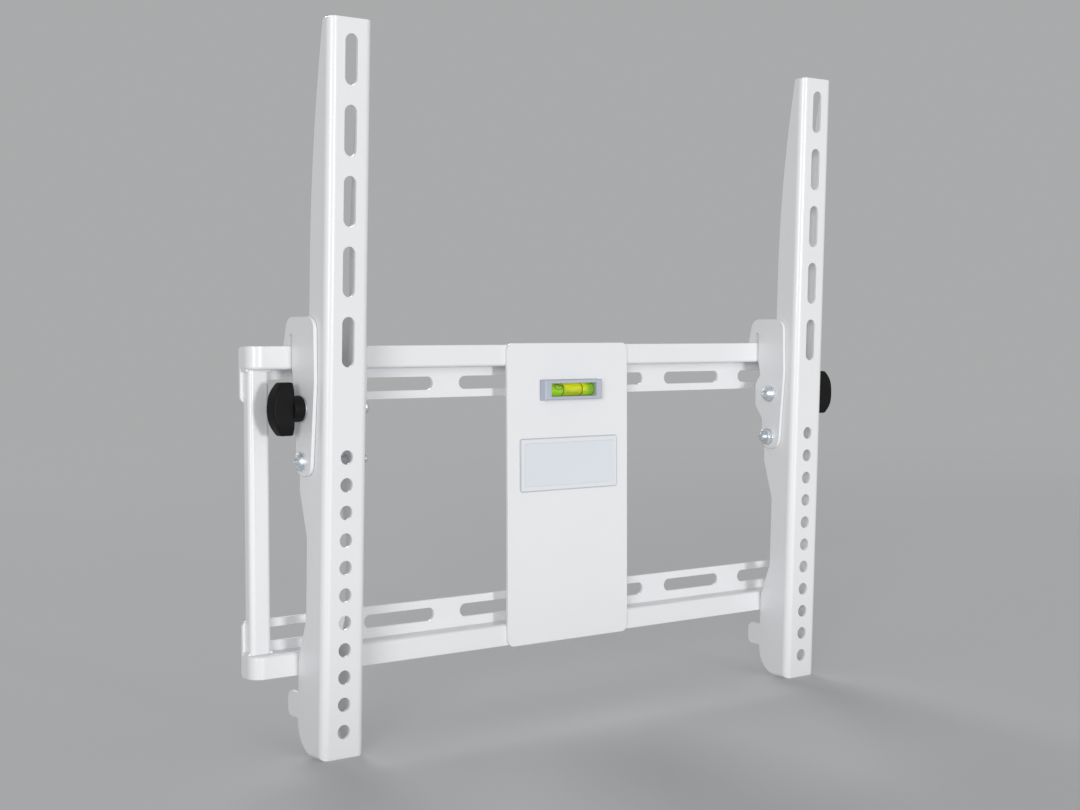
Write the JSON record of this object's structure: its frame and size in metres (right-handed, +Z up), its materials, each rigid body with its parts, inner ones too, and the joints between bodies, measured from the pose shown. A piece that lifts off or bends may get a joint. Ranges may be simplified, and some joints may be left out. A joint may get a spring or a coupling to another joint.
{
  "type": "tilting screen wall bracket",
  "caption": "Flat wall plate of slotted rails with a level and a bare badge, and upright channel arms that hang on the upper rail, slide along it and tilt to carry a flat screen.",
  "frame": {"origin": "centre of the wall plate, on the wall face", "axes": "+X along the rails to the right as seen from the front, +Y into the wall, +Z up"},
  "size_m": [0.4909, 0.0585, 0.4429],
  "materials": {
    "white_coat": "satin white powder coat",
    "zinc": "bright zinc plate",
    "black_plastic": "matt moulded plastic",
    "grey_plastic": "pale moulded plastic",
    "badge": "smooth pale plastic",
    "clear": "clear acrylic",
    "liquid": "tinted spirit"
  },
  "bodies": {
    "wall_plate": {"upper_rail": "white_coat", "lower_rail": "white_coat", "left_upright": "white_coat", "right_upright": "white_coat", "centre_plate": "white_coat", "level_body": "grey_plastic", "level_vial": "clear", "level_liquid": "liquid", "badge_plate": "badge"},
    "left_hanger": {"left_inner_hook_plate": "white_coat", "left_outer_hook_plate": "white_coat", "left_pivot_bolt": "zinc", "left_pivot_nut": "zinc", "left_pivot_washers": "zinc", "left_tilt_bolt": "zinc", "left_tilt_washer": "zinc", "left_pivot_sleeve": "zinc", "left_tilt_sleeve": "zinc", "left_tilt_collar": "zinc"},
    "left_arm": {"left_arm_channel": "white_coat"},
    "left_knob": {"left_tilt_knob": "black_plastic", "left_knob_insert": "zinc"},
    "right_hanger": {"right_inner_hook_plate": "white_coat", "right_outer_hook_plate": "white_coat", "right_pivot_bolt": "zinc", "right_pivot_nut": "zinc", "right_pivot_washers": "zinc", "right_tilt_bolt": "zinc", "right_tilt_washer": "zinc", "right_pivot_sleeve": "zinc", "right_tilt_sleeve": "zinc", "right_tilt_collar": "zinc"},
    "right_arm": {"right_arm_channel": "white_coat"},
    "right_knob": {"right_tilt_knob": "black_plastic", "right_knob_insert": "zinc"}
  },
  "joints": [
    {"name": "left_arm_slide", "type": "slide", "parent": "wall_plate", "child": "left_hanger", "axis": [1, 0, 0], "range_m": [-0.019, 0.124]},
    {"name": "left_tilt", "type": "hinge", "parent": "left_hanger", "child": "left_arm", "pos_m": [-0.1975, -0.0265, 0.031], "axis": [1, 0, 0], "range_deg": [-10, 0]},
    {"name": "left_knob_turn", "type": "hinge", "parent": "left_hanger", "child": "left_knob", "pos_m": [-0.1975, -0.0277, 0.063], "axis": [1, 0, 0], "continuous": true},
    {"name": "right_arm_slide", "type": "slide", "parent": "wall_plate", "child": "right_hanger", "axis": [-1, 0, 0], "range_m": [-0.012, 0.131]},
    {"name": "right_tilt", "type": "hinge", "parent": "right_hanger", "child": "right_arm", "pos_m": [0.2025, -0.0265, 0.031], "axis": [1, 0, 0], "range_deg": [-10, 0]},
    {"name": "right_knob_turn", "type": "hinge", "parent": "right_hanger", "child": "right_knob", "pos_m": [0.2025, -0.0277, 0.063], "axis": [1, 0, 0], "continuous": true}
  ]
}
